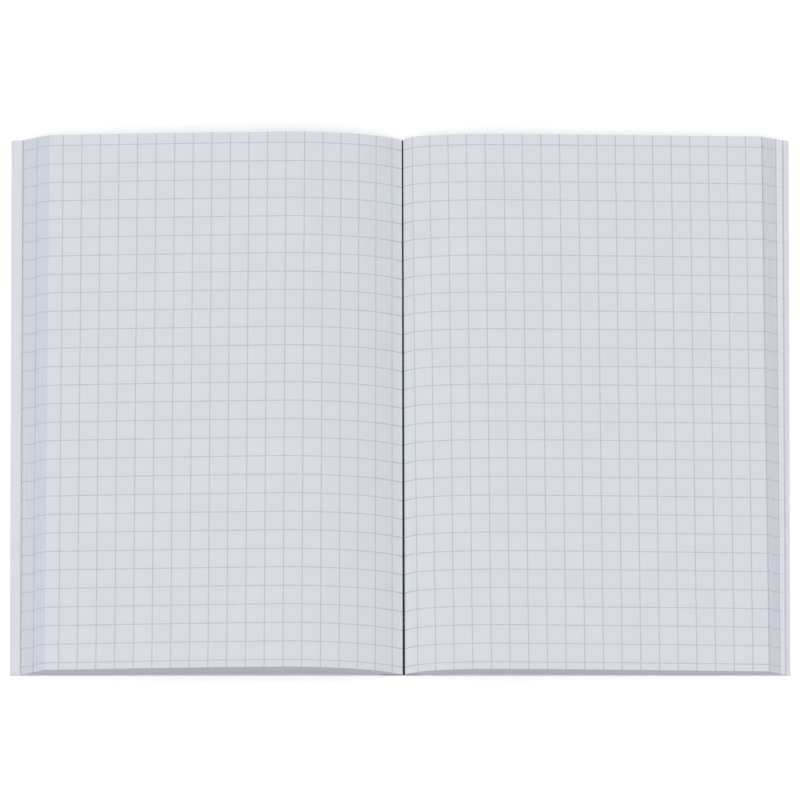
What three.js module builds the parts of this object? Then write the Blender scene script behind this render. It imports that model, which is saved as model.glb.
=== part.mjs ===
// A pocket notebook lying open on a table: twelve sewn sections of leaves in a creased card cover,
// seven of them turned over to the front cover and five left on the back cover.
// Millimetres. +X runs from the front cover to the back cover, +Y to the head of the page, +Z up.
// The origin is on the table, under the middle of the open notebook.
import * as THREE from 'three';

// Paper and card
const pageHeight = 148;
const leafThickness = 0.105;
const leavesPerSection = 8;
const cardThickness = 0.45;
const coverWidth = 98.7;
const endpaperThickness = 0.12;
const flyleafWidth = 98.2;
const pastedownWidth = 97.7;

// Spine, in layers from the card up to the folds of the sections
const glueThickness = 0.2;
const clothThickness = 0.2;
const threadThickness = 0.25;
const threadWidth = 0.5;
const sewingStations = 6;
const stationMargin = 14;
const spineInset = 0.5;

// Clearances
const creaseGap = 0.3;
const foldClearance = 0.05;
const sectionClearance = 0.03;
const bendClearance = 0.15;
const endpaperRoom = 0.6;
const endpaperInset = 0.4;
const gutterSlit = 0.65;
const foreEdgeClearance = 0.11;

// The leaves of each half leave the spine, rise to a crown and slope down to the fore-edge.
// Distances are from the gutter and from the table.
const bendSteps = 14;

const frontHalf = {
  name: 'front',
  direction: -1,
  sectionCount: 7,
  crownDistance: 33,
  crownUnderside: 4.3,
  lowestLeafReach: 102.4,
  openPageReach: 95.4,
  openPageEdgeHeight: 6.4,
  lowestLeafAngle: 14,
  lowestLeafHandle: 9,
  openPageAngle: 46,
  openPageHandle: 13,
  crownHandle: 6,
};

const backHalf = {
  name: 'back',
  direction: 1,
  sectionCount: 5,
  crownDistance: 26.8,
  crownUnderside: 3.3,
  lowestLeafReach: 102.1,
  openPageReach: 96.1,
  openPageEdgeHeight: 4.6,
  lowestLeafAngle: 14,
  lowestLeafHandle: 7,
  openPageAngle: 74,
  openPageHandle: 6.5,
  crownHandle: 4,
};

// The top leaf of the back half is the one that turns. It is free from a little way off its fold,
// and it bends in two places on its way over: at the fold, and at this share of its bent part.
const freeLeafStartShare = 0.16;
const secondBendShare = 0.6;

const sectionThickness = leavesPerSection * leafThickness;
const glueBase = cardThickness;
const clothBase = glueBase + glueThickness;
const threadBase = clothBase + clothThickness;
const foldHeight = threadBase + threadThickness + foldClearance;
const pastedownBase = cardThickness;
const flyleafBase = pastedownBase + endpaperThickness;
const lowestLeafEdgeHeight = flyleafBase + endpaperThickness + foreEdgeClearance;

const creaseDistance = (half) => half.sectionCount * sectionThickness + endpaperRoom;
const stackThickness = (half) => half.sectionCount * sectionThickness;

// The gutter stands off the origin, so that the origin is midway between the cover's fore-edges.
const gutterX = (creaseDistance(frontHalf) - creaseDistance(backHalf)) / 2;

const colours = {
  card: 0x262c44,
  endpaper: 0xdfe0e6,
  leaf: 0xd3d6de,
  glue: 0xd9d2bd,
  cloth: 0x1f2338,
  thread: 0x232942,
};

function paperLook(colour) {
  return new THREE.MeshStandardMaterial({ color: colour, roughness: 0.9, metalness: 0 });
}

function lerp(low, high, share) {
  return low + (high - low) * share;
}

function blend(low, high, share) {
  return new THREE.Vector2(lerp(low.x, high.x, share), lerp(low.y, high.y, share));
}

function atAngle(degrees, length) {
  const radians = THREE.MathUtils.degToRad(degrees);
  return new THREE.Vector2(Math.cos(radians), Math.sin(radians)).multiplyScalar(length);
}

// A solid with one outline all along the page's height. The outline is a list of points, each a
// distance across the notebook and a height, and the solid runs from one y to the other.
function alongPage(name, outline, fromY, toY, colour) {
  const geometry = new THREE.ExtrudeGeometry(new THREE.Shape(outline), {
    depth: toY - fromY,
    bevelEnabled: false,
  });
  geometry.applyMatrix4(new THREE.Matrix4().set(1, 0, 0, 0, 0, 0, -1, toY, 0, 1, 0, 0, 0, 0, 0, 1));
  const mesh = new THREE.Mesh(geometry, paperLook(colour));
  mesh.name = name;
  return mesh;
}

function fullHeight(name, outline, colour) {
  return alongPage(name, outline, -pageHeight / 2, pageHeight / 2, colour);
}

function rectangle(fromX, toX, base, thickness) {
  return [
    new THREE.Vector2(fromX, base),
    new THREE.Vector2(toX, base),
    new THREE.Vector2(toX, base + thickness),
    new THREE.Vector2(fromX, base + thickness),
  ];
}

// Points measured outwards from the gutter become points of the notebook.
function fromGutter(half, points) {
  return points.map((point) => new THREE.Vector2(gutterX + half.direction * point.x, point.y));
}

// A leaf's path from its fold: level 0 is the lowest leaf of the half, level 1 its open page.
function leafPath(half, level) {
  const lowestFold = new THREE.Vector2(stackThickness(half) + gutterSlit / 2, foldHeight);
  const topFold = new THREE.Vector2(gutterSlit / 2, foldHeight);
  const lowestHandle = lowestFold.clone().add(atAngle(half.lowestLeafAngle, half.lowestLeafHandle));
  const topHandle = topFold.clone().add(atAngle(half.openPageAngle, half.openPageHandle));
  const crown = new THREE.Vector2(
    half.crownDistance,
    half.crownUnderside + level * stackThickness(half),
  );
  const foreEdge = new THREE.Vector2(
    lerp(half.lowestLeafReach, half.openPageReach, level),
    lerp(lowestLeafEdgeHeight, half.openPageEdgeHeight, level),
  );
  const outwards = foreEdge.clone().sub(crown).normalize();
  const bend = new THREE.CubicBezierCurve(
    blend(lowestFold, topFold, level),
    blend(lowestHandle, topHandle, level),
    crown.clone().addScaledVector(outwards, -half.crownHandle),
    crown,
  );
  return { bend, crown, foreEdge, outwards };
}

function bendPoints(path, from, to) {
  const points = [];
  for (let step = 0; step <= bendSteps; step += 1) {
    points.push(path.bend.getPoint(lerp(from, to, step / bendSteps)));
  }
  return points;
}

// One section is a bent part, from its fold to the crown, and a flat part, from there outwards.
function section(half, index, number) {
  const clearance = sectionClearance / 2 / stackThickness(half);
  const lower = leafPath(half, index / half.sectionCount + clearance);
  const upper = leafPath(half, (index + 1) / half.sectionCount - clearance);
  const bent = [...bendPoints(lower, 0, 1), ...bendPoints(upper, 0, 1).reverse()];
  const flat = [
    lower.crown.clone().addScaledVector(lower.outwards, bendClearance),
    lower.foreEdge,
    upper.foreEdge,
    upper.crown.clone().addScaledVector(upper.outwards, bendClearance),
  ];
  return [
    fullHeight(`section_${number}_bend`, fromGutter(half, bent), colours.leaf),
    fullHeight(`section_${number}_leaves`, fromGutter(half, flat), colours.leaf),
  ];
}

function sections(half, numberOf) {
  const meshes = [];
  for (let index = 0; index < half.sectionCount; index += 1) {
    meshes.push(...section(half, index, numberOf(index)));
  }
  return meshes;
}

function turningLeaf(half) {
  const lower = leafPath(half, 1 + sectionClearance / stackThickness(half));
  const upper = leafPath(half, 1 + (sectionClearance + leafThickness) / stackThickness(half));
  const root = [
    ...bendPoints(lower, freeLeafStartShare, secondBendShare),
    ...bendPoints(upper, freeLeafStartShare, secondBendShare).reverse(),
  ];
  const pastGap = secondBendShare + bendClearance / upper.bend.getLength();
  const rest = [
    ...bendPoints(lower, pastGap, 1),
    lower.foreEdge,
    upper.foreEdge,
    ...bendPoints(upper, pastGap, 1).reverse(),
  ];
  return [
    fullHeight('turning_leaf_root', fromGutter(half, root), colours.leaf),
    fullHeight('turning_leaf', fromGutter(half, rest), colours.leaf),
  ];
}

// A cover with its endpaper: one half of the endpaper is pasted down, the other is a free leaf.
function cover(half) {
  const crease = creaseDistance(half);
  const coverEdge = crease + coverWidth;
  const sheet = (name, width, start, base, thickness, colour) => {
    const outline = rectangle(crease + start, crease + width, base, thickness);
    return fullHeight(`${half.name}_${name}`, fromGutter(half, outline), colour);
  };
  const board = rectangle(crease + creaseGap / 2, coverEdge, 0, cardThickness);
  return [
    fullHeight(`${half.name}_cover`, fromGutter(half, board), colours.card),
    sheet('pastedown', pastedownWidth, endpaperInset, pastedownBase, endpaperThickness, colours.endpaper),
    sheet('flyleaf', flyleafWidth, endpaperInset, flyleafBase, endpaperThickness, colours.endpaper),
  ];
}

// The spine strip of the cover, the glue and the cloth on it.
function spine() {
  const frontCrease = gutterX - creaseDistance(frontHalf);
  const backCrease = gutterX + creaseDistance(backHalf);
  const layer = (name, inset, base, thickness, colour) =>
    fullHeight(name, rectangle(frontCrease + inset, backCrease - inset, base, thickness), colour);
  return [
    layer('spine_panel', creaseGap / 2, 0, cardThickness, colours.card),
    layer('spine_glue', spineInset, glueBase, glueThickness, colours.glue),
    layer('spine_cloth', spineInset, clothBase, clothThickness, colours.cloth),
  ];
}

// Each station's thread runs across the folds of all the sections.
function sewingThreads() {
  const outline = rectangle(
    gutterX - stackThickness(frontHalf),
    gutterX + stackThickness(backHalf),
    threadBase,
    threadThickness,
  );
  const meshes = [];
  for (let station = 0; station < sewingStations; station += 1) {
    const reach = pageHeight / 2 - stationMargin;
    const y = lerp(-reach, reach, station / (sewingStations - 1));
    const name = `sewing_thread_${station + 1}`;
    meshes.push(alongPage(name, outline, y - threadWidth / 2, y + threadWidth / 2, colours.thread));
  }
  return meshes;
}

const sectionTotal = frontHalf.sectionCount + backHalf.sectionCount;

const notebook = new THREE.Group();
notebook.add(
  ...spine(),
  ...sewingThreads(),
  ...cover(frontHalf),
  ...cover(backHalf),
  ...sections(frontHalf, (index) => index + 1),
  ...sections(backHalf, (index) => sectionTotal - index),
  ...turningLeaf(backHalf),
);

export default notebook;
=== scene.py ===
# A pocket notebook lies open: seven sewn sections of square-ruled leaves turned over to the front
# cover, five left on the back cover, in one creased card cover.
# Lengths are in millimetres until a mesh is made, and distances across are from the gutter.
import math
from dataclasses import dataclass

import bmesh
import bpy
import numpy as np
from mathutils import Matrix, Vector


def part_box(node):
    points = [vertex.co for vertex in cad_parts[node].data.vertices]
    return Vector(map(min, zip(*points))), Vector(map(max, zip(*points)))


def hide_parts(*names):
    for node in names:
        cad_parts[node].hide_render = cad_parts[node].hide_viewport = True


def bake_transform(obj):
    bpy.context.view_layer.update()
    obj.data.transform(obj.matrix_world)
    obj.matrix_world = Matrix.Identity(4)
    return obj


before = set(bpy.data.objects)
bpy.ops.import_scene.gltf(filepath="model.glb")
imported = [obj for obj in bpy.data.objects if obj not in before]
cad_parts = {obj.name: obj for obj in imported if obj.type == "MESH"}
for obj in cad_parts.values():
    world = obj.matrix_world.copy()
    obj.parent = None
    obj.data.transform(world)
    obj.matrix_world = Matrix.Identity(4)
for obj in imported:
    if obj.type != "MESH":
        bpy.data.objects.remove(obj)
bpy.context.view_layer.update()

MM = 0.001
# Width of one band of a wave texture whose scale is 1
BAND_AT_SCALE_ONE = math.pi / 10

# Paper
LEAF = 0.105
LEAVES_PER_SECTION = 8
SECTION = LEAF * LEAVES_PER_SECTION
SECTION_CLEARANCE = 0.03
FOLD_HEIGHT = 1.15
LOWEST_EDGE_HEIGHT = 0.8
# Width of the slit between the folds of the two open pages
GUTTER_SLIT = 0.48

# Card
CARD = 0.45
CREASE_ROOM = 0.6
CREASE_WIDTH = 0.3
COVER_WIDTH = 98.7
CARD_ROUNDING = 0.09

# Ruling. Almost 29 rows fill a page, so that each is a little over 5 mm high.
SQUARE = 5.0
ROWS = 28.96
FIRST_ROW_SHARE = 0.58
RULE_WIDTH = 0.27
RULE_SOFTNESS = 0.07

PAGE_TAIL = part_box("front_flyleaf")[0].y / MM
PAGE_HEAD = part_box("front_flyleaf")[1].y / MM
ROW = (PAGE_HEAD - PAGE_TAIL) / ROWS


@dataclass(frozen=True)
class Half:
    """The leaves that lie on one cover. Its sections are named from the cover upwards."""

    name: str
    side: int
    sections: tuple
    # The crown, where a leaf stops bending and goes on straight to its fore-edge
    crown_distance: float
    crown_underside: float
    # Fore-edges of the lowest leaf and the open page
    lowest_reach: float
    open_reach: float
    open_edge_height: float
    # Slopes at the folds of these two, in degrees, and how long a leaf keeps its slope at each end
    lowest_angle: float
    lowest_handle: float
    open_angle: float
    open_handle: float
    crown_handle: float
    # How far the open page and the lowest leaf lean out towards the tail, in degrees, and how soon
    # they do from the gutter
    open_lean: float
    lowest_lean: float
    lean_onset: float
    # Distance from the fore-edge to the first vertical rule
    first_rule: float
    # How dark the painted shade of the gap over some sections is at the fore-edge, as a share; 0 stands
    # for the cover
    painted_gap_shade: dict
    # Sections whose fore-edges are given a colour almost as pale as a page
    pale: tuple

    @property
    def stack(self):
        return len(self.sections) * SECTION

    @property
    def crease(self):
        return self.stack + CREASE_ROOM

    @property
    def cover(self):
        return f"{self.name}_cover"

    @property
    def bends(self):
        return f"{self.name}_bends"


FRONT = Half(
    name="front",
    side=-1,
    sections=(1, 2, 3, 4, 5, 6, 7),
    crown_distance=33,
    crown_underside=4.3,
    lowest_reach=102.4,
    open_reach=95.4,
    open_edge_height=6.4,
    lowest_angle=14,
    lowest_handle=9,
    open_angle=46,
    open_handle=11.5,
    crown_handle=6,
    open_lean=0.45,
    lowest_lean=0.2,
    lean_onset=15.0,
    first_rule=3.75,
    painted_gap_shade={0: 0.75, 4: 0.75},
    pale=(),
)
BACK = Half(
    name="back",
    side=1,
    sections=(12, 11, 10, 9, 8),
    crown_distance=26.8,
    crown_underside=3.3,
    lowest_reach=102.4,
    open_reach=97.0,
    open_edge_height=4.6,
    lowest_angle=14,
    lowest_handle=7,
    open_angle=74,
    open_handle=6.5,
    crown_handle=4,
    open_lean=0.51,
    lowest_lean=0.0,
    lean_onset=1.3,
    first_rule=4.1,
    painted_gap_shade={0: 0.35, 11: 0.6, 8: 0.6},
    pale=(12, 11),
)
# The gutter lies off the middle of the spine, because the front half holds more leaves.
GUTTER = (FRONT.stack - BACK.stack) / 2
# The folds run a little askew: this far across for each millimetre towards the tail.
GUTTER_LEAN = 0.0018

# A leaf's path is counted in places: 0 at the fold, 1 at the crown, 2 at the fore-edge.
# The bent part near the fold and the rest of a section are two meshes that meet at the seam. A
# leaf's points go on to the last place, and its reach then gives the one at its fore-edge.
SEAM = 0.55
CROWN = 1.0
LAST_PLACE = 1.97
AT_FORE_EDGE = 2.0

# The turning leaf is free from here, and its two meshes meet at its second bend. Two points
# (distance, height) are given for each of its two bends.
FREE_LEAF_START = 0.17
SECOND_BEND = 0.6
FOLD_TURN = ((-12.1, 13.6), (15.1, 3.1))
SECOND_TURN = ((18.3, 6.2), (24.6, 7.4))

# The open page arches past its crown and ripples in two waves, each given by its lengths along the
# fold and out from it. Both fade towards the cover, and within this distance of the fold.
ARCH = 0.22
RIPPLE = 0.05
LONG_WAVE = (61, 89)
SHORT_WAVE = (37, 53)
SHORT_WAVE_SHARE = 0.6
SHORT_WAVE_PHASE = 2
EVEN_NEAR_FOLD = 7.0

# How uneven the leaves' reaches and rules are, and how far the leaf over a gap with painted shade
# stands back
REACH_JITTER = 0.05
RULE_JITTER = 0.13
PARTED_STEP = 0.16

# Painted shade over an ordinary section, how many leaves the painted shade of a gap covers, and
# the tone from which they count as shaded
FAINT_GAP_SHADE = 0.08
GAP_SHADE_LEAVES = 3
DARK = 0.1
# Tones of a pale fore-edge and of the painted light on the paper by the fold, and how soon that one ends
PALE = -0.85
PAINTED_FOLD_LIGHT = -0.65
FOLD_LIGHT_FADE = 1.5

# Points along a leaf's fold and along a cover, and how close two points are to count as one
LEAF_POINTS = 32
COVER_POINTS = 16
SAME_POINT = 0.002
SHARP_DEGREES = 35


def smooth(share):
    share = np.clip(share, 0, 1)
    return share * share * (3 - 2 * share)


def lerp(low, high, share):
    return low + (high - low) * share


def at_angle(degrees, length):
    return length * np.array([math.cos(math.radians(degrees)), math.sin(math.radians(degrees))])


def leaf_path(half, level, places):
    """Points (distance, height) of a leaf. Level 0 is the half's lowest leaf, and 1 its open page."""
    lowest_fold = np.array([half.stack + GUTTER_SLIT / 2, FOLD_HEIGHT])
    open_fold = np.array([GUTTER_SLIT / 2, FOLD_HEIGHT])
    lowest_handle = lowest_fold + at_angle(half.lowest_angle, half.lowest_handle)
    open_handle = open_fold + at_angle(half.open_angle, half.open_handle)
    crown = np.array([half.crown_distance, half.crown_underside + level * half.stack])
    fore_edge = lerp(
        np.array([half.lowest_reach, LOWEST_EDGE_HEIGHT]),
        np.array([half.open_reach, half.open_edge_height]),
        level,
    )
    outwards = (fore_edge - crown) / np.linalg.norm(fore_edge - crown)
    corners = (
        lerp(lowest_fold, open_fold, level),
        lerp(lowest_handle, open_handle, level),
        crown - half.crown_handle * outwards,
        crown,
    )
    places = np.asarray(places, float)[:, None]
    t = np.minimum(places, CROWN)
    shares = ((1 - t) ** 3, 3 * t * (1 - t) ** 2, 3 * t * t * (1 - t), t**3)
    bent = sum(share * corner for share, corner in zip(shares, corners))
    return bent + np.maximum(places - CROWN, 0) * (fore_edge - crown)


def places_between(*stretches):
    """Places along a leaf, from stretches that each have a first, a last and a number of places."""
    return np.concatenate([np.linspace(*stretch) for stretch in stretches])


def place_of_reach(half, level, reach):
    fore_edge = lerp(half.lowest_reach, half.open_reach, level)
    return CROWN + (reach - half.crown_distance) / (fore_edge - half.crown_distance)


def from_fore_edge(half, level, places):
    """How far along the leaf each place is from the fore-edge."""
    past_fore_edge = 0.02
    fine = np.linspace(0, AT_FORE_EDGE + past_fore_edge, 405)
    steps = np.linalg.norm(np.diff(leaf_path(half, level, fine), axis=0), axis=1)
    along = np.concatenate([[0], np.cumsum(steps)])
    return np.interp(AT_FORE_EDGE, fine, along) - np.interp(places, fine, along)


def laid_out(half, points, levels, ys):
    """Carries points (distance, height) along the fold, as a grid of points with the small
    unevenness of real leaves: all of them lean a little, and the open page arches and ripples."""
    distance = points[:, :1]
    height = points[:, 1:]
    levels = np.broadcast_to(np.asarray(levels, float), (len(points),))[:, None]
    y = ys[None, :]
    uneven = levels * smooth(distance / EVEN_NEAR_FOLD)
    past_crown = (distance - half.crown_distance) / (half.open_reach - half.crown_distance)
    arch = ARCH * np.sin(math.pi * np.clip(past_crown, 0, 1))
    long_wave = np.sin(2 * math.pi * (y / LONG_WAVE[0] + distance / LONG_WAVE[1]) + half.side)
    short_wave = np.sin(2 * math.pi * (y / SHORT_WAVE[0] - distance / SHORT_WAVE[1]) + SHORT_WAVE_PHASE)
    ripple = RIPPLE * (long_wave + SHORT_WAVE_SHARE * short_wave)
    lean = np.tan(np.radians(lerp(half.lowest_lean, half.open_lean, levels)))
    leant = distance - lean * (1 - np.exp(-distance / half.lean_onset)) * y
    raised = height + uneven * (arch + ripple)
    across = GUTTER - GUTTER_LEAN * y + half.side * leant
    return np.stack(np.broadcast_arrays(across, y, raised), axis=-1)


@dataclass
class Patch:
    """A grid of points with its map in millimetres, the way it faces and its material's place.
    Its tone is how much darker it is than its material, as a share, or paler where negative: painted
    shade in the gaps between sections, painted light by the fold, and paler fore-edges of some
    sections."""

    points: np.ndarray
    page_mm: np.ndarray
    facing: tuple
    look: int
    rounded: bool = False
    tone: object = 0.0


# Places of the three finishes of the leaves
PAGE, FORE_EDGE, TRIMMED_END = range(3)


def faces_of(patch):
    """Four corners for each face of the patch, in the order that makes it face the right way."""
    rows, columns = patch.points.shape[:2]
    grid = np.arange(rows * columns).reshape(rows, columns)
    faces = np.stack([grid[:-1, :-1], grid[1:, :-1], grid[1:, 1:], grid[:-1, 1:]], -1).reshape(-1, 4)
    a, b, c, d = (patch.points.reshape(-1, 3)[faces[:, corner]] for corner in range(4))
    area = np.cross(c - a, d - b).sum(axis=0)
    if area @ np.array(patch.facing) < 0:
        faces = faces[:, ::-1]
    return faces


def join_patches(name, patches, materials):
    """One mesh of all the patches, with their maps and tones, and no doubled points."""
    points, faces, page_mm, tones, looks, rounded = [], [], [], [], [], []
    for patch in patches:
        own = faces_of(patch)
        faces.append(own + sum(len(earlier) for earlier in points))
        points.append(patch.points.reshape(-1, 3))
        page_mm.append(patch.page_mm.reshape(-1, 2)[own].reshape(-1, 2))
        tone = np.broadcast_to(np.asarray(patch.tone, float), patch.points.shape[:2])
        tones.append(tone.reshape(-1)[own].reshape(-1))
        looks += [patch.look] * len(own)
        rounded += [patch.rounded] * len(own)

    mesh = bpy.data.meshes.new(name)
    mesh.from_pydata((np.vstack(points) * MM).tolist(), [], np.vstack(faces).tolist())
    mesh.uv_layers.new(name="page_mm").data.foreach_set("uv", np.vstack(page_mm).ravel())
    mesh.attributes.new("tone", "FLOAT", "CORNER").data.foreach_set("value", np.concatenate(tones))
    mesh.polygons.foreach_set("material_index", looks)
    mesh.polygons.foreach_set("use_smooth", rounded)
    for material in materials:
        mesh.materials.append(material)

    work = bmesh.new()
    work.from_mesh(mesh)
    bmesh.ops.remove_doubles(work, verts=work.verts, dist=SAME_POINT * MM)
    work.to_mesh(mesh)
    work.free()
    mesh.set_sharp_from_angle(angle=math.radians(SHARP_DEGREES))
    piece = bpy.data.objects.new(name, mesh)
    bpy.context.scene.collection.objects.link(piece)
    return piece


def rows_down(ys, rule_shift):
    """Distances down the page from its first row."""
    return PAGE_HEAD - ys - FIRST_ROW_SHARE * ROW + rule_shift


def page_face(half, level, places, ys, rule_shift, facing):
    """One side of a leaf, with painted light on the paper by the fold."""
    path = leaf_path(half, level, places)
    across = from_fore_edge(half, level, places) - half.first_rule
    page_mm = np.stack(np.meshgrid(across, rows_down(ys, rule_shift), indexing="ij"), axis=-1)
    # Painted light: the paper is made paler close to the fold
    fold_light = PAINTED_FOLD_LIGHT * np.exp(-path[:, :1] / FOLD_LIGHT_FADE)
    points = laid_out(half, path, level, ys)
    return Patch(points, page_mm, (0, 0, facing), PAGE, rounded=True, tone=fold_light)


def trimmed_end(half, edges, end, facing):
    """The head or tail of one leaf, between its lower and its upper edge (level, places)."""
    at_end = np.array([end])
    rows = [laid_out(half, leaf_path(half, level, places), level, at_end) for level, places in edges]
    maps = [
        np.stack([from_fore_edge(half, level, places), np.full(len(places), level * half.stack)], axis=-1)
        for level, places in edges
    ]
    return Patch(np.hstack(rows), np.stack(maps, axis=1), (0, facing, 0), TRIMMED_END)


def edge_strip(half, corners, ys):
    """Points of a strip that runs along the fold through corners (level, place)."""
    profile = np.vstack([leaf_path(half, level, [place]) for level, place in corners])
    return laid_out(half, profile, np.array([level for level, place in corners]), ys)


def fanned_fore_edges(half, levels, reaches, rule_shifts, tones, ys):
    """The cut edge of each leaf, and the strip of it that the leaf above leaves bare."""
    outwards_and_up = (half.side, 0, 0.4)
    patches = []
    for leaf, reach in enumerate(reaches):
        low, high = levels[leaf], levels[leaf + 1]
        steps = [(low, reach), (high, reach)]
        if leaf + 1 < len(reaches):
            steps.append((high, reaches[leaf + 1]))
        corners = [(level, place_of_reach(half, level, reach)) for level, reach in steps]
        fan = np.array([reach - half.open_reach for level, reach in steps])
        page_mm = np.stack(np.meshgrid(fan, rows_down(ys, rule_shifts[leaf]), indexing="ij"), axis=-1)
        tone = np.full((len(steps), 1), tones[leaf])
        points = edge_strip(half, corners, ys)
        patches.append(Patch(points, page_mm, outwards_and_up, FORE_EDGE, tone=tone))
    return patches


def leaf_stack(name, half, levels, places, rule_shifts, materials, reaches=None, tones=None):
    """Leaves one on another, over some places of their paths. With reaches they go on and end in
    steps at the fore-edge, and otherwise they start at the fold. Each leaf lies between two of the
    levels."""
    ys = np.linspace(PAGE_TAIL, PAGE_HEAD, LEAF_POINTS)

    def edge(level, leaf):
        """One side of a leaf, from its first place to its last."""
        if reaches is None:
            return level, places
        return level, np.append(places, place_of_reach(half, level, reaches[leaf]))

    patches = [
        page_face(half, *edge(levels[0], 0), ys, rule_shifts[0], -1),
        page_face(half, *edge(levels[-1], -1), ys, rule_shifts[-1], 1),
    ]
    for leaf in range(len(levels) - 1):
        edges = edge(levels[leaf], leaf), edge(levels[leaf + 1], leaf)
        patches.append(trimmed_end(half, edges, PAGE_TAIL, -1))
        patches.append(trimmed_end(half, edges, PAGE_HEAD, 1))
    if reaches is None:
        fold = edge_strip(half, [(levels[0], places[0]), (levels[-1], places[0])], ys)
        patches.append(Patch(fold, np.zeros(fold.shape[:2] + (2,)), (0, 0, -1), FORE_EDGE))
    else:
        patches += fanned_fore_edges(half, levels, reaches, rule_shifts, tones, ys)
    return join_patches(name, patches, materials)


def linear(colour):
    """A linear colour from an sRGB hex value."""
    parts = [int(colour[start : start + 2], 16) / 255 for start in (1, 3, 5)]
    return tuple(c / 12.92 if c <= 0.04045 else ((c + 0.055) / 1.055) ** 2.4 for c in parts) + (1.0,)


def node(tree, kind, inputs=None, **settings):
    """Adds a node, sets its properties, and sets or links its inputs."""
    made = tree.nodes.new(kind)
    for name, value in settings.items():
        setattr(made, name, value)
    for socket, value in (inputs or {}).items():
        if isinstance(value, bpy.types.NodeSocket):
            tree.links.new(value, made.inputs[socket])
        else:
            made.inputs[socket].default_value = value
    return made


# Sockets of a mix node that mixes two colours
MIX_A = 6
MIX_B = 7
MIX_RESULT = 2


def blank_material(name):
    material = bpy.data.materials.new(name)
    material.use_nodes = True
    material.node_tree.nodes.clear()
    return material, material.node_tree


def give_surface(tree, colour, roughness, bump=None):
    """Ends a material with the surface that has its mixed colour, its roughness and its relief."""
    inputs = {"Base Color": colour.outputs[MIX_RESULT], "Roughness": roughness}
    if bump is not None:
        inputs["Normal"] = bump.outputs[0]
    surface = node(tree, "ShaderNodeBsdfPrincipled", inputs)
    node(tree, "ShaderNodeOutputMaterial", {"Surface": surface.outputs["BSDF"]})


def rule_line(tree, distance, pitch):
    """1 on a rule and 0 between rules, where distance is millimetres from any one of them."""
    nearest = node(tree, "ShaderNodeMath", {0: distance, 1: pitch / 2}, operation="PINGPONG")
    line = node(
        tree,
        "ShaderNodeMapRange",
        {
            "Value": nearest.outputs[0],
            "From Min": RULE_WIDTH / 2 - RULE_SOFTNESS,
            "From Max": RULE_WIDTH / 2 + RULE_SOFTNESS,
            "To Min": 1.0,
            "To Max": 0.0,
        },
        interpolation_type="SMOOTHSTEP",
    )
    return line.outputs["Result"]


def ruled_wove_paper():
    """Uncoated wove paper, printed with pale grey-blue rules: dull, a little cloudy, with painted light
    that makes it paler by the fold, and the ink sinks in, so that its lines are soft and slightly
    uneven. The fibres are drawn coarser than real ones, which would not show."""
    cloud_mm = 9.0
    fibre_mm = 0.7
    thin_ink = 0.72
    material, tree = blank_material("ruled_wove_paper")
    page = node(tree, "ShaderNodeUVMap", uv_map="page_mm")
    place = node(tree, "ShaderNodeSeparateXYZ", {0: page.outputs[0]})
    cloud = node(
        tree,
        "ShaderNodeTexNoise",
        {"Vector": page.outputs[0], "Scale": 1 / cloud_mm, "Detail": 3.0},
    )
    fibre = node(
        tree,
        "ShaderNodeTexNoise",
        {"Vector": page.outputs[0], "Scale": 1 / fibre_mm, "Detail": 2.0},
    )
    paper = node(
        tree,
        "ShaderNodeMix",
        {"Factor": cloud.outputs["Fac"], MIX_A: linear("#d2d6dc"), MIX_B: linear("#d9dce3")},
        data_type="RGBA",
    )
    tone = node(tree, "ShaderNodeAttribute", attribute_name="tone")
    # Painted light by the fold, from a negative tone
    fold_light = node(tree, "ShaderNodeMath", {0: tone.outputs["Fac"], 1: -1.0}, operation="MULTIPLY")
    fold_lightened = node(
        tree,
        "ShaderNodeMix",
        {"Factor": fold_light.outputs[0], MIX_A: paper.outputs[MIX_RESULT], MIX_B: linear("#eff2f6")},
        data_type="RGBA",
    )
    columns = rule_line(tree, place.outputs["X"], SQUARE)
    rows = rule_line(tree, place.outputs["Y"], ROW)
    ruled = node(tree, "ShaderNodeMath", {0: columns, 1: rows}, operation="MAXIMUM")
    ink = node(
        tree,
        "ShaderNodeMapRange",
        {"Value": fibre.outputs["Fac"], "From Min": 0.3, "From Max": 0.6, "To Min": thin_ink, "To Max": 1.0},
    )
    inked = node(
        tree, "ShaderNodeMath", {0: ruled.outputs[0], 1: ink.outputs["Result"]}, operation="MULTIPLY"
    )
    colour = node(
        tree,
        "ShaderNodeMix",
        {"Factor": inked.outputs[0], MIX_A: fold_lightened.outputs[MIX_RESULT], MIX_B: linear("#b9bcc6")},
        data_type="RGBA",
    )
    bump = node(
        tree,
        "ShaderNodeBump",
        {"Height": fibre.outputs["Fac"], "Strength": 0.12, "Distance": 0.02 * MM},
    )
    give_surface(tree, colour, roughness=0.88, bump=bump)
    return material


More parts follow.
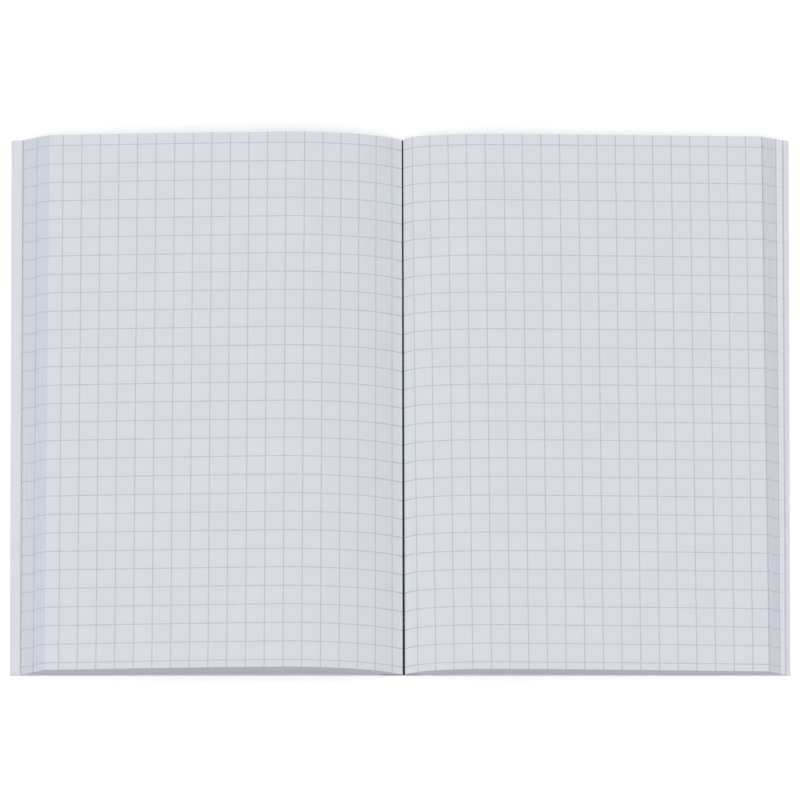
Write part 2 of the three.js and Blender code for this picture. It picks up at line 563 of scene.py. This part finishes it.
def guillotined_fore_edge():
    """The fore-edges of the leaves, cut by a guillotine and fanned out: slightly darker than the
    pages, with fine streaks along them, a tick of ink where a row runs off, painted shade in the
    gaps between sections and a paler colour on some sections. The streaks are drawn coarser than
    single leaves."""
    streak_mm = 0.3
    streak_length_mm = 26.0
    tick_strength = 0.75
    material, tree = blank_material("guillotined_fore_edge")
    page = node(tree, "ShaderNodeUVMap", uv_map="page_mm")
    place = node(tree, "ShaderNodeSeparateXYZ", {0: page.outputs[0]})
    stretched = node(
        tree,
        "ShaderNodeMapping",
        {"Vector": page.outputs[0], "Scale": (1 / streak_mm, 1 / streak_length_mm, 1.0)},
    )
    streak = node(
        tree, "ShaderNodeTexNoise", {"Vector": stretched.outputs[0], "Scale": 1.0, "Detail": 2.0}
    )
    paper = node(
        tree,
        "ShaderNodeMix",
        {"Factor": streak.outputs["Fac"], MIX_A: linear("#c8ccd4"), MIX_B: linear("#d7dae1")},
        data_type="RGBA",
    )
    ticks = rule_line(tree, place.outputs["Y"], ROW)
    faint = node(tree, "ShaderNodeMath", {0: ticks, 1: tick_strength}, operation="MULTIPLY")
    inked = node(
        tree,
        "ShaderNodeMix",
        {"Factor": faint.outputs[0], MIX_A: paper.outputs[MIX_RESULT], MIX_B: linear("#b4b8c2")},
        data_type="RGBA",
    )
    tone = node(tree, "ShaderNodeAttribute", attribute_name="tone")
    pressed = node(tree, "ShaderNodeMath", {0: tone.outputs["Fac"], 1: -1.0}, operation="MULTIPLY")
    # A paler colour for the sections listed as pale, from a negative tone
    paled_edge = node(
        tree,
        "ShaderNodeMix",
        {"Factor": pressed.outputs[0], MIX_A: inked.outputs[MIX_RESULT], MIX_B: linear("#e5e8ed")},
        data_type="RGBA",
    )
    # Painted shade of the gaps between sections, from the tone
    colour = node(
        tree,
        "ShaderNodeMix",
        {"Factor": tone.outputs["Fac"], MIX_A: paled_edge.outputs[MIX_RESULT], MIX_B: linear("#9b9fa9")},
        data_type="RGBA",
    )
    give_surface(tree, colour, roughness=0.92)
    return material


def trimmed_leaf_ends():
    """The head and tail of the leaves, trimmed square: a stack of paper edges that reads as fine
    streaks along the leaves, greyer partly as painted shade between the leaves, with a thin line of
    painted shade at each boundary between sections. One streak is as thick as three leaves, because
    single leaves would not show."""
    streak_mm = 3 * LEAF
    streak_length_mm = 30.0
    gap_shade_mm = 0.07
    gap_shade_strength = 0.55
    material, tree = blank_material("trimmed_leaf_ends")
    page = node(tree, "ShaderNodeUVMap", uv_map="page_mm")
    place = node(tree, "ShaderNodeSeparateXYZ", {0: page.outputs[0]})
    stretched = node(
        tree,
        "ShaderNodeMapping",
        {"Vector": page.outputs[0], "Scale": (1 / streak_length_mm, 1 / streak_mm, 1.0)},
    )
    streak = node(
        tree, "ShaderNodeTexNoise", {"Vector": stretched.outputs[0], "Scale": 1.0, "Detail": 3.0}
    )
    # Greyer than a page, partly as painted shade of the gaps between the leaves
    paper = node(
        tree,
        "ShaderNodeMix",
        {"Factor": streak.outputs["Fac"], MIX_A: linear("#a9adb6"), MIX_B: linear("#c9ccd3")},
        data_type="RGBA",
    )
    # Painted shade: a thin dark line at each boundary between sections
    nearest = node(
        tree, "ShaderNodeMath", {0: place.outputs["Y"], 1: SECTION / 2}, operation="PINGPONG"
    )
    gap_shade_line = node(
        tree,
        "ShaderNodeMapRange",
        {"Value": nearest.outputs[0], "From Max": gap_shade_mm, "To Min": gap_shade_strength, "To Max": 0.0},
    )
    colour = node(
        tree,
        "ShaderNodeMix",
        {"Factor": gap_shade_line.outputs["Result"], MIX_A: paper.outputs[MIX_RESULT], MIX_B: linear("#8b8f99")},
        data_type="RGBA",
    )
    bump = node(
        tree,
        "ShaderNodeBump",
        {"Height": streak.outputs["Fac"], "Strength": 0.5, "Distance": 0.05 * MM},
    )
    give_surface(tree, colour, roughness=0.92, bump=bump)
    return material


def endpaper():
    """Heavier plain wove paper, a little warmer and smoother than the leaves, and cloudy."""
    cloud_mm = 6.0
    material, tree = blank_material("plain_endpaper")
    where = node(tree, "ShaderNodeTexCoord")
    cloud = node(
        tree,
        "ShaderNodeTexNoise",
        {"Vector": where.outputs["Object"], "Scale": 1 / (cloud_mm * MM), "Detail": 5.0},
    )
    colour = node(
        tree,
        "ShaderNodeMix",
        {"Factor": cloud.outputs["Fac"], MIX_A: linear("#d6d6dd"), MIX_B: linear("#dedee4")},
        data_type="RGBA",
    )
    bump = node(
        tree,
        "ShaderNodeBump",
        {"Height": cloud.outputs["Fac"], "Strength": 0.1, "Distance": 0.03 * MM},
    )
    give_surface(tree, colour, roughness=0.8, bump=bump)
    return material


def grained_cover_card(name, coordinates, height_axis):
    """White card with a navy face, sealed and pressed with a fine pebbled grain: a soft sheen on
    the outside, a pale core at the cut edges and a pale inside. The grain is drawn at twice the
    real size. The coordinates run from 0 at the outside to 1 at the inside along the height axis."""
    grain_mm = 0.9
    wear_mm = 7.0
    face_share = 0.3
    face_roughness = 0.5
    inside_roughness = 0.85
    material, tree = blank_material(name)
    where = node(tree, "ShaderNodeTexCoord")
    grain = node(
        tree,
        "ShaderNodeTexVoronoi",
        {"Vector": where.outputs["Object"], "Scale": 1 / (grain_mm * MM)},
        feature="SMOOTH_F1",
    )
    wear = node(
        tree,
        "ShaderNodeTexNoise",
        {"Vector": where.outputs["Object"], "Scale": 1 / (wear_mm * MM), "Detail": 6.0},
    )
    navy = node(
        tree,
        "ShaderNodeMix",
        {"Factor": wear.outputs["Fac"], MIX_A: linear("#232a44"), MIX_B: linear("#2b3350")},
        data_type="RGBA",
    )
    share = node(tree, "ShaderNodeSeparateXYZ", {0: coordinates(tree)})
    inside = node(
        tree,
        "ShaderNodeMath",
        {0: share.outputs[height_axis], 1: face_share},
        operation="GREATER_THAN",
    )
    colour = node(
        tree,
        "ShaderNodeMix",
        {"Factor": inside.outputs[0], MIX_A: navy.outputs[MIX_RESULT], MIX_B: linear("#dedee4")},
        data_type="RGBA",
    )
    roughness = node(
        tree,
        "ShaderNodeMapRange",
        {"Value": inside.outputs[0], "To Min": face_roughness, "To Max": inside_roughness},
    )
    bump = node(
        tree,
        "ShaderNodeBump",
        {"Height": grain.outputs["Distance"], "Strength": 0.25, "Distance": 0.06 * MM},
    )
    give_surface(tree, colour, roughness=roughness.outputs["Result"], bump=bump)
    return material


def woven_book_cloth():
    """Plain-woven cotton book cloth, dyed navy and sized: dull, with a regular over and under of
    threads. The weave is drawn at a coarser 0.6 mm, so that it shows."""
    thread_mm = 0.6
    material, tree = blank_material("woven_book_cloth")
    where = node(tree, "ShaderNodeTexCoord")
    bands = []
    for direction in ("X", "Y"):
        bands.append(
            node(
                tree,
                "ShaderNodeTexWave",
                {"Vector": where.outputs["Object"], "Scale": BAND_AT_SCALE_ONE / (thread_mm * MM)},
                bands_direction=direction,
            )
        )
    weave = node(
        tree,
        "ShaderNodeMath",
        {0: bands[0].outputs["Fac"], 1: bands[1].outputs["Fac"]},
        operation="MULTIPLY",
    )
    colour = node(
        tree,
        "ShaderNodeMix",
        {"Factor": weave.outputs[0], MIX_A: linear("#171b2d"), MIX_B: linear("#272d47")},
        data_type="RGBA",
    )
    bump = node(
        tree, "ShaderNodeBump", {"Height": weave.outputs[0], "Strength": 0.4, "Distance": 0.08 * MM}
    )
    give_surface(tree, colour, roughness=0.9, bump=bump)
    return material


def dried_binding_glue():
    """Brushed-on white binding glue, dried clear ivory: a low shine over slow brush waves."""
    wave_mm = 2.5
    material, tree = blank_material("dried_binding_glue")
    where = node(tree, "ShaderNodeTexCoord")
    waves = node(
        tree,
        "ShaderNodeTexNoise",
        {"Vector": where.outputs["Object"], "Scale": 1 / (wave_mm * MM), "Detail": 2.0},
    )
    colour = node(
        tree,
        "ShaderNodeMix",
        {"Factor": waves.outputs["Fac"], MIX_A: linear("#d3cbb4"), MIX_B: linear("#e0d9c6")},
        data_type="RGBA",
    )
    bump = node(
        tree, "ShaderNodeBump", {"Height": waves.outputs["Fac"], "Strength": 0.3, "Distance": 0.1 * MM}
    )
    give_surface(tree, colour, roughness=0.4, bump=bump)
    return material


def waxed_linen_thread():
    """Waxed linen thread, dyed navy: slanting plies with a faint shine. The plies are drawn at
    0.8 mm, so that they show."""
    ply_mm = 0.8
    material, tree = blank_material("waxed_linen_thread")
    where = node(tree, "ShaderNodeTexCoord")
    plies = node(
        tree,
        "ShaderNodeTexWave",
        {"Vector": where.outputs["Object"], "Scale": BAND_AT_SCALE_ONE / (ply_mm * MM)},
        bands_direction="DIAGONAL",
    )
    colour = node(
        tree,
        "ShaderNodeMix",
        {"Factor": plies.outputs["Fac"], MIX_A: linear("#191e31"), MIX_B: linear("#2a3150")},
        data_type="RGBA",
    )
    bump = node(
        tree, "ShaderNodeBump", {"Height": plies.outputs["Fac"], "Strength": 0.5, "Distance": 0.1 * MM}
    )
    give_surface(tree, colour, roughness=0.6, bump=bump)
    return material


def painted_fore_edge_tones(half, index):
    """Tones of a section's fore-edges, from its lowest leaf up: painted shade next to a gap, and pale
    where not shaded for sections listed as pale.
    """
    number = half.sections[index]
    from_top = np.arange(LEAVES_PER_SECTION)[::-1]
    # Painted shade on the top leaves by the gap above; on the lowest section also on the lowest leaves, by
    # the cover
    tones = half.painted_gap_shade.get(number, FAINT_GAP_SHADE) * np.clip(1 - from_top / GAP_SHADE_LEAVES, 0, 1)
    if index == 0:
        tones += half.painted_gap_shade[0] * np.clip(1 - from_top[::-1] / GAP_SHADE_LEAVES, 0, 1)
    if number in half.pale:
        tones = np.where(tones > DARK, tones, PALE)
    return tones


def make_section(half, index, papers):
    """One section: a mesh of its bent part and a mesh of its leaves out to the fore-edge."""
    number = half.sections[index]
    dice = np.random.default_rng(number)
    clearance = SECTION_CLEARANCE / 2 / half.stack
    count = len(half.sections)
    lowest = index / count + clearance
    highest = (index + 1) / count - clearance
    levels = np.linspace(lowest, highest, LEAVES_PER_SECTION + 1)

    middles = (levels[:-1] + levels[1:]) / 2
    reaches = lerp(half.lowest_reach, half.open_reach, middles)
    reaches += dice.uniform(-REACH_JITTER, REACH_JITTER, LEAVES_PER_SECTION)
    if index > 0:
        gap_shade_below = half.painted_gap_shade.get(half.sections[index - 1], 0)
        reaches -= PARTED_STEP * gap_shade_below * (1 - np.arange(LEAVES_PER_SECTION) / LEAVES_PER_SECTION)
    rule_shifts = dice.normal(0, RULE_JITTER) + dice.normal(0, RULE_JITTER, LEAVES_PER_SECTION)
    if index == count - 1:
        rule_shifts[-1] = 0
        reaches[-1] = half.open_reach

    # Places lie close together on both sides of the seam, so that the shading goes on across it
    bent_places = places_between((0, SEAM - 0.05, 16), (SEAM - 0.04, SEAM, 4))
    flat_places = places_between(
        (SEAM, SEAM + 0.04, 4), (SEAM + 0.07, CROWN, 12), (CROWN + 0.06, LAST_PLACE, 16)
    )
    bent = leaf_stack(f"section_{number}_near_fold", half, levels, bent_places, rule_shifts, papers)
    flat = leaf_stack(
        f"section_{number}_pages",
        half,
        levels,
        flat_places,
        rule_shifts,
        papers,
        reaches,
        painted_fore_edge_tones(half, index),
    )

    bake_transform(bent)
    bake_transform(flat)
    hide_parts(f"section_{number}_bend")
    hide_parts(f"section_{number}_leaves")


def make_turning_leaf(half, papers):
    """The leaf that turns, a single sheet in two meshes that meet at its second bend."""
    clearance = SECTION_CLEARANCE / half.stack
    levels = np.array([1 + clearance, 1 + clearance + LEAF / half.stack])
    root_places = places_between(
        (FREE_LEAF_START, SECOND_BEND - 0.05, 32), (SECOND_BEND - 0.04, SECOND_BEND, 4)
    )
    # Places lie close together where the leaf bends as it turns
    rest_places = places_between(
        (SECOND_BEND, SECOND_BEND + 0.04, 4),
        (SECOND_BEND + 0.06, CROWN, 16),
        (CROWN + 0.02, CROWN + 0.14, 7),
        (CROWN + 0.2, LAST_PLACE, 14),
    )
    even = np.zeros(1)
    reach = np.array([half.open_reach])
    root = leaf_stack("turning_leaf_near_fold", half, levels, root_places, even, papers)
    rest = leaf_stack("turning_leaf_page", half, levels, rest_places, even, papers, reach, even)
    for piece, held_by, body, bend in (
        (root, f"section_{half.sections[-1]}", "turning_leaf_root", FOLD_TURN),
        (rest, "turning_leaf_root", "turning_leaf", SECOND_TURN),
    ):
        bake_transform(piece)
        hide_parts(body)


def make_cover_card(half, card):
    """One cover with the pressed crease that joins it to the spine strip."""
    groove_width = 0.09
    groove_depth = 0.12
    inner = -CREASE_WIDTH / 2
    end_of_crease = CREASE_WIDTH / 2
    in_groove = [-groove_width, -groove_width / 3, groove_width / 3, groove_width]
    past_groove = [end_of_crease, 0.5, 2, 20, 50, 80, COVER_WIDTH]
    from_crease = np.array([inner] + in_groove + past_groove)
    across = half.crease + from_crease
    groove = groove_depth * np.exp(-((from_crease / groove_width) ** 2))
    ys = np.linspace(PAGE_TAIL, PAGE_HEAD, COVER_POINTS)

    def sheet(heights, facing, share):
        """One face of the card. The share says how far it is through the card, from the outside."""
        grid = (GUTTER + half.side * across)[:, None], ys[None, :], heights[:, None]
        points = np.stack(np.broadcast_arrays(*grid), axis=-1)
        page_mm = np.stack(np.meshgrid(across, np.full(len(ys), share), indexing="ij"), axis=-1)
        return Patch(points, page_mm, (0, 0, facing), 0)

    under = sheet(groove, -1, 0.0)
    upper = sheet(np.full(len(across), CARD), 1, 1.0)
    patches = [under, upper]
    # The cut edges at the tail, the head and the fore-edge, and the end at the crease
    for rows, facing in (
        (np.s_[:, :1], (0, -1, 0)),
        (np.s_[:, -1:], (0, 1, 0)),
        (np.s_[-1:, :], (half.side, 0, 0)),
        (np.s_[:1, :], (-half.side, 0, 0)),
    ):
        low, high = under.points[rows], upper.points[rows]
        low_map, high_map = under.page_mm[rows], upper.page_mm[rows]
        axis = 1 if low.shape[1] == 1 else 0
        points = np.concatenate([low, high], axis)
        patches.append(Patch(points, np.concatenate([low_map, high_map], axis), facing, 0))
    cover = join_patches(f"{half.name}_cover_card", patches, [card])
    round_edges(cover, half)
    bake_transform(cover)
    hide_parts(half.cover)


def round_edges(cover, half):
    """Softens the trimmed edges of a cover, all but the one at its crease."""
    clear_of_crease = 0.4
    sharp = math.radians(60)
    past_crease = (GUTTER + half.side * (half.crease + clear_of_crease)) * MM * half.side
    work = bmesh.new()
    work.from_mesh(cover.data)
    edges = [
        edge
        for edge in work.edges
        if edge.calc_face_angle(0) > sharp
        and all(vertex.co.x * half.side > past_crease for vertex in edge.verts)
    ]
    bmesh.ops.bevel(work, geom=edges, offset=CARD_ROUNDING * MM, segments=2, affect="EDGES")
    work.to_mesh(cover.data)
    work.free()


def dress_carried_over_nodes(finishes):
    """Gives the plain sheets and strips that keep their solid's shape their real finish."""
    for name, material in finishes.items():
        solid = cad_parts[name]
        solid.data.materials.clear()
        solid.data.materials.append(material)


def make_white_surroundings():
    """White all around, bright to the eye and weaker as a light."""
    fill = 0.46
    world = bpy.data.worlds.new("studio")
    world.use_nodes = True
    tree = world.node_tree
    tree.nodes.clear()
    path = node(tree, "ShaderNodeLightPath")
    seen = node(
        tree,
        "ShaderNodeMath",
        {0: path.outputs["Is Camera Ray"], 1: path.outputs["Is Glossy Ray"]},
        operation="MAXIMUM",
    )
    through = node(
        tree,
        "ShaderNodeMath",
        {0: seen.outputs[0], 1: path.outputs["Is Transmission Ray"]},
        operation="MAXIMUM",
    )
    strength = node(
        tree, "ShaderNodeMapRange", {"Value": through.outputs[0], "To Min": fill, "To Max": 1.0}
    )
    background = node(
        tree,
        "ShaderNodeBackground",
        {"Color": (1, 1, 1, 1), "Strength": strength.outputs["Result"]},
    )
    node(tree, "ShaderNodeOutputWorld", {"Surface": background.outputs[0]})
    bpy.context.scene.world = world


def pale_floor():
    """Pale matt board, lifted a little towards white where the camera sees it."""
    floor_lift = 0.2
    material, tree = blank_material("pale_floor")
    matt = node(tree, "ShaderNodeBsdfDiffuse", {"Color": linear("#f4f4f5")})
    path = node(tree, "ShaderNodeLightPath")
    lift = node(
        tree, "ShaderNodeMath", {0: path.outputs["Is Camera Ray"], 1: floor_lift}, operation="MULTIPLY"
    )
    glow = node(tree, "ShaderNodeEmission", {"Color": (1, 1, 1, 1), "Strength": lift.outputs[0]})
    both = node(tree, "ShaderNodeAddShader", {0: matt.outputs[0], 1: glow.outputs[0]})
    node(tree, "ShaderNodeOutputMaterial", {"Surface": both.outputs[0]})
    return material


def make_floor():
    """A broad floor that keeps the notebook's soft shadow."""
    half_width_m = 6.0
    just_under = -0.02 * MM
    corners = [(-1, -1), (1, -1), (1, 1), (-1, 1)]
    points = [(x * half_width_m, y * half_width_m, just_under) for x, y in corners]
    mesh = bpy.data.meshes.new("floor")
    mesh.from_pydata(points, [], [(0, 1, 2, 3)])
    mesh.materials.append(pale_floor())
    floor = bpy.data.objects.new("floor", mesh)
    bpy.context.scene.collection.objects.link(floor)


def make_softbox():
    """One broad softbox far overhead, a little to the left and to the tail side. It lights all of
    the table alike."""
    towards = Vector((-0.13, -0.22, 1.2)).normalized()
    width_degrees = 70
    share = 0.55
    lamp = bpy.data.lights.new("softbox", "SUN")
    lamp.angle = math.radians(width_degrees)
    lamp.energy = math.pi * share / towards.z
    softbox = bpy.data.objects.new("softbox", lamp)
    softbox.rotation_euler = towards.to_track_quat("Z", "Y").to_euler()
    bpy.context.scene.collection.objects.link(softbox)


def make_camera():
    """The photograph looks down from the tail side, with no perspective that shows."""
    elevation = math.radians(75.5)
    width_seen = 214.5
    distance = 8000.0
    centre_shift = 2.1
    data = bpy.data.cameras.new("camera")
    data.sensor_width = 36
    data.lens = data.sensor_width * distance / width_seen
    data.clip_end = 50
    camera = bpy.data.objects.new("camera", data)
    back = np.array([0, -math.cos(elevation), math.sin(elevation)])
    up = np.array([0, math.sin(elevation), math.cos(elevation)])
    camera.location = (centre_shift * up + distance * back) * MM
    camera.rotation_euler = (math.pi / 2 - elevation, 0, 0)
    bpy.context.scene.collection.objects.link(camera)
    bpy.context.scene.camera = camera


def main():
    bpy.context.scene.view_settings.view_transform = "Standard"
    papers = [ruled_wove_paper(), guillotined_fore_edge(), trimmed_leaf_ends()]
    plain = endpaper()
    flat_card = grained_cover_card(
        "grained_cover_card",
        lambda tree: node(tree, "ShaderNodeTexCoord").outputs["Generated"],
        "Z",
    )
    creased_card = grained_cover_card(
        "creased_cover_card",
        lambda tree: node(tree, "ShaderNodeUVMap", uv_map="page_mm").outputs[0],
        "Y",
    )
    thread = waxed_linen_thread()
    finishes = {
        "spine_panel": flat_card,
        "spine_glue": dried_binding_glue(),
        "spine_cloth": woven_book_cloth(),
    }
    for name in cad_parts:
        if name.startswith("sewing_thread"):
            finishes[name] = thread
        if name.endswith(("pastedown", "flyleaf")):
            finishes[name] = plain
    dress_carried_over_nodes(finishes)

    for half in (FRONT, BACK):
        for index in range(len(half.sections)):
            make_section(half, index, papers)
        make_cover_card(half, creased_card)
    make_turning_leaf(BACK, papers)
    make_white_surroundings()
    make_floor()
    make_softbox()
    make_camera()


main()
